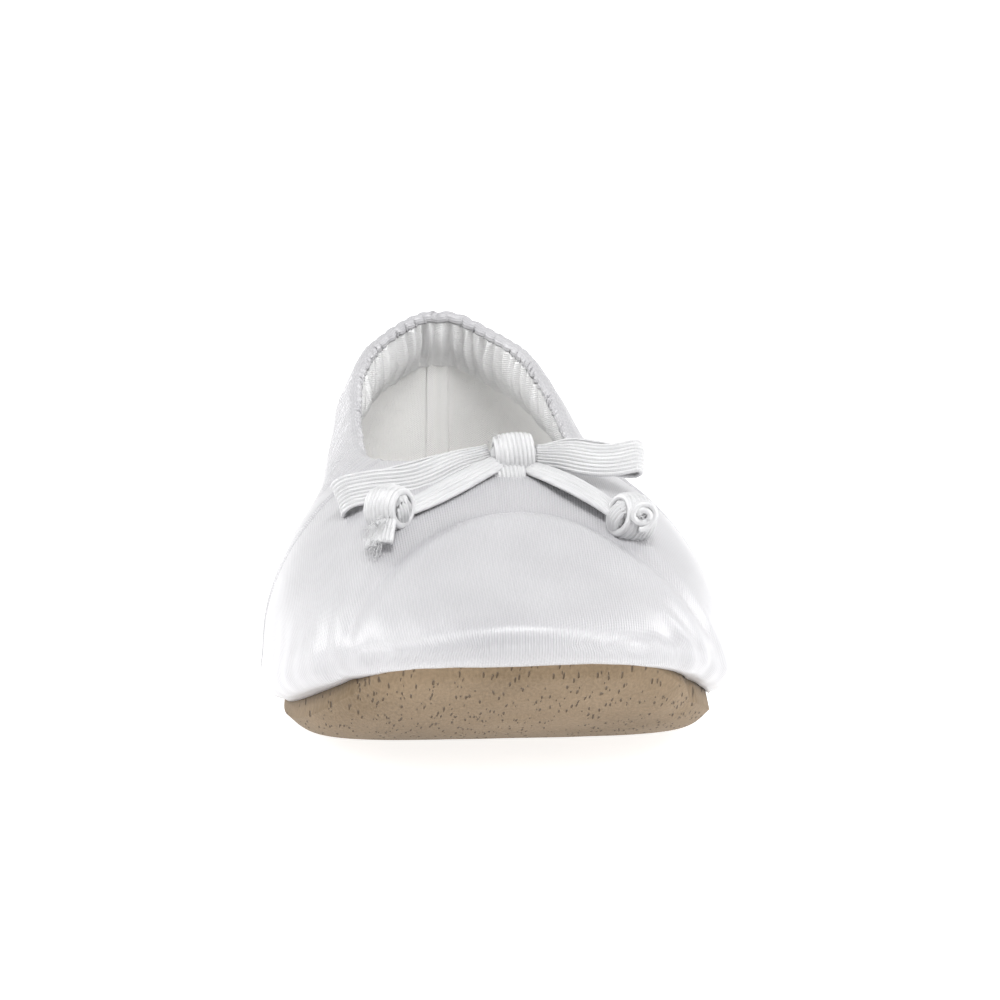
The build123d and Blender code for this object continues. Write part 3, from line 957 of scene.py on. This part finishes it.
def bow_pieces():
    made = []
    # the knot: one wrap over the top, a lower one in front, and the folded core
    wrap_up = np.array([0.0, -0.2, 1.0])
    parts = [wrap(BOW + [0.1, -0.2, 0.0], (1.0, 0.04, 0.07), wrap_up, 4.5, 3.9, 8.0, 9, 0.7),
             wrap(BOW + [-1.0, -3.2, -4.4], (1.0, 0.0, 0.1), wrap_up, 3.2, 2.9, 6.8, 8, 0.6),
             knot_core(BOW, np.array([1.0, 0.0, 0.05]), wrap_up, 5.0, 3.8)]
    parts += tuft(BOW + [-3.6, -1.5, 4.2], (-0.25, -0.1, 1.0), 0.5, 1.6, 14, 0.07)
    made.append(("bow_knot_ribbon", parts, "forefoot", "bow_knot"))
    left_root, right_root = BOW + [-4.6, 0.0, 0.5], BOW + [4.6, 0.0, 0.5]
    made.append(("bow_loop_left_ribbon", [loop_parts(left_root, 17.0, 32.0, -1.0, 2.1, 1.5)],
                 "loop_left", "bow_loop_left"))
    made.append(("bow_loop_right_ribbon", [loop_parts(right_root, 3.5, 21.5, 1.0, 1.9, 1.2)],
                 "loop_right", "bow_loop_right"))
    # left tail: the ribbon, its overhand knot and the frayed end
    route = [(0.5, -45.5, 2.4), (-7.0, -52.0, 1.8), (-14.0, -59.5, 1.4), (-19.5, -64.0, 2.2)]
    band, end, heading, n = tail_parts(route, 5.0)
    centre = end + heading * 2.2 + n * 0.8
    side = np.cross(heading, n)
    parts = [band, wrap(centre, unit(side + 0.25 * heading), n, 4.0, 4.3, 7.2, 8, 0.9),
             wrap(centre - heading * 0.5 - n * 0.3, unit(heading + 0.35 * side), n, 3.5, 3.8, 4.6, 6, 0.7),
             knot_core(centre, side, n, 4.3, 4.25)]
    stub, stub_n = surface_point(-24.3, -76.5, 2.0)
    mid = centre + (stub - centre) * 0.55 + stub_n * 0.6
    path = bezier([centre, mid, stub], 16)
    parts.append(ribbon_mesh(path, np.repeat(np.cross(stub_n, stub - centre)[None], 16, 0),
                             mix(3.6, 6.0, np.linspace(0, 1, 16)), 0.7, 8, 0.8, ridge=0.25))
    parts += tuft(stub, stub - centre, 0.28, 2.6, 46)
    parts += tuft(mid + stub_n * 0.8, stub - centre, 0.35, 4.5, 26)
    made.append(("bow_tail_left_ribbon", parts, "tail_left", "bow_tail_left"))
    # right tail: the cut end looks forwards
    route = [(7.4, -45.5, 1.6), (12.5, -52.0, 3.0), (18.8, -57.5, 2.8), (23.6, -64.0, 1.8)]
    band, end, heading, n = tail_parts(route, 5.4)
    centre = end + heading * 2.2 + n * 0.5
    side = np.cross(heading, n)
    parts = [band, wrap(centre, unit(side - 0.3 * heading), n, 4.3, 4.5, 7.0, 8, 0.9),
             wrap(centre - n * 0.6, unit(heading + 0.3 * side), n, 3.7, 4.2, 4.4, 6, 0.7),
             knot_core(centre, side, n, 4.3, 4.4)]
    face_at = centre + np.array([1.6, -4.6, 1.4])
    out = unit(np.array([0.12, -1.0, 0.12]))
    turn = np.linspace(0.0, 3.6 * math.pi, 120)
    r = mix(0.7, 2.8, np.linspace(0.0, 1.0, 120)) * (1 + 0.06 * np.sin(2.3 * turn))
    right = unit(np.cross(out, [0.0, 0.0, 1.0]))
    up = np.cross(right, out)
    spiral = face_at + np.outer(r * np.cos(turn), right) + np.outer(r * np.sin(turn), up) - out * 1.4
    parts.append(ribbon_mesh(spiral, np.repeat(out[None], 120, 0), 4.6, 1.25, 6, 0.0, ridge=0.05))
    parts += tuft(face_at + out * 0.7, out, 0.9, 0.8, 60, 0.07)
    made.append(("bow_tail_right_ribbon", parts, "tail_right", "bow_tail_right"))
    for name, parts, body, node in made:
        points, faces, uv = joined(parts)
        piece = make_piece(name, points, faces, uv, RIBBON, body)
        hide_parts(node)


# ---- assemble ----
upper, roll_radius = upper_pieces()
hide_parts("vamp")
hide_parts("quarter_left")
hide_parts("quarter_right")
rear_facing, throat_hem = facing_piece(roll_radius)
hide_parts("topline_facing", "topline_elastic")
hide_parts("throat_hem")
linings = lining_pieces()
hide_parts("vamp_lining")
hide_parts("quarter_lining_left")
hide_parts("quarter_lining_right")
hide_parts("back_seam_tape")
sole = sole_piece()
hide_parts("outsole_front", "outsole_back")
foam_pad, sock = insole_pieces()
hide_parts("insole_foam_front", "insole_foam_back", "heel_cushion")
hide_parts("insole_sock_front", "insole_sock_back")
satins = list(upper.values()) + [throat_hem, rear_facing]
for piece in satins + list(linings.values()) + [sole, foam_pad, sock]:
    bend(piece)

bow_pieces()


# ---- stage: pale floor, soft light and the camera ----
def stage():
    half = 6.0
    mesh = bpy.data.meshes.new("studio_floor")
    corners = [(-half, -half, 0), (half, -half, 0), (half, half, 0), (-half, half, 0)]
    mesh.from_pydata(corners, [], [(0, 1, 2, 3)])
    m = Nodes("studio floor")
    m.shader.inputs["Base Color"].default_value = (0.6, 0.6, 0.6, 1.0)
    m.shader.inputs["Roughness"].default_value = 0.9
    m.shader.inputs["Specular IOR Level"].default_value = 0.1
    m.shader.inputs["Emission Color"].default_value = (1.0, 1.0, 1.0, 1.0)
    m.shader.inputs["Emission Strength"].default_value = 0.82
    mesh.materials.append(m.material)
    floor = bpy.data.objects.new("studio_floor", mesh)
    bpy.context.scene.collection.objects.link(floor)
    floor.location.z = -0.0002


def area_light(name, place, target, size, power):
    data = bpy.data.lights.new(name, "AREA")
    data.shape = "DISK"
    data.size = size
    data.energy = power
    light = bpy.data.objects.new(name, data)
    light.location = place
    light.rotation_euler = (Vector(target) - Vector(place)).to_track_quat("-Z", "Y").to_euler()
    bpy.context.scene.collection.objects.link(light)


def world_light():
    # white all round, a little darker on the side the camera looks from
    world = bpy.data.worlds.new("studio")
    bpy.context.scene.world = world
    world.use_nodes = True
    tree = world.node_tree
    back = tree.nodes["Background"]
    place = tree.nodes.new("ShaderNodeTexCoord")
    parts = tree.nodes.new("ShaderNodeSeparateXYZ")
    ramp = tree.nodes.new("ShaderNodeMapRange")
    tree.links.new(place.outputs["Generated"], parts.inputs[0])
    tree.links.new(parts.outputs[1], ramp.inputs["Value"])
    for key, v in zip(("From Min", "From Max", "To Min", "To Max"), (-1.0, 0.1, 0.28, 0.7)):
        ramp.inputs[key].default_value = v
    tree.links.new(ramp.outputs[0], back.inputs["Strength"])
    back.inputs["Color"].default_value = (1.0, 1.0, 1.0, 1.0)


def camera():
    azimuth, elevation, distance = math.radians(4.8), math.radians(10.8), 0.900
    target = Vector((0.0052, 0.0, 0.0368))
    level = math.cos(elevation)
    forward = Vector((math.sin(azimuth) * level, math.cos(azimuth) * level, -math.sin(elevation)))
    data = bpy.data.cameras.new("camera")
    data.lens, data.sensor_width = 153.0, 36.0
    cam = bpy.data.objects.new("camera", data)
    cam.location = target - forward * distance
    cam.rotation_euler = forward.to_track_quat("-Z", "Y").to_euler()
    bpy.context.scene.collection.objects.link(cam)
    bpy.context.scene.camera = cam


stage()
world_light()
# place and target in metres, then diameter and power
area_light("key", (0.65, -0.8, 0.75), (0.0, -0.03, 0.03), 0.45, 3.0)
area_light("side_right", (0.95, -0.45, 0.22), (0.0, -0.04, 0.03), 0.4, 2.4)
area_light("back_right", (0.8, 0.6, 0.5), (0.0, 0.0, 0.03), 0.5, 2.2)
area_light("back_left", (-0.8, 0.6, 0.5), (0.0, 0.0, 0.03), 0.5, 2.8)
area_light("side_left", (-0.95, -0.1, 0.35), (0.0, 0.0, 0.04), 0.6, 3.5)
area_light("top", (0.05, -0.5, 1.05), (0.0, 0.05, 0.03), 0.5, 8.0)
camera()
bpy.context.scene.view_settings.view_transform = "Standard"
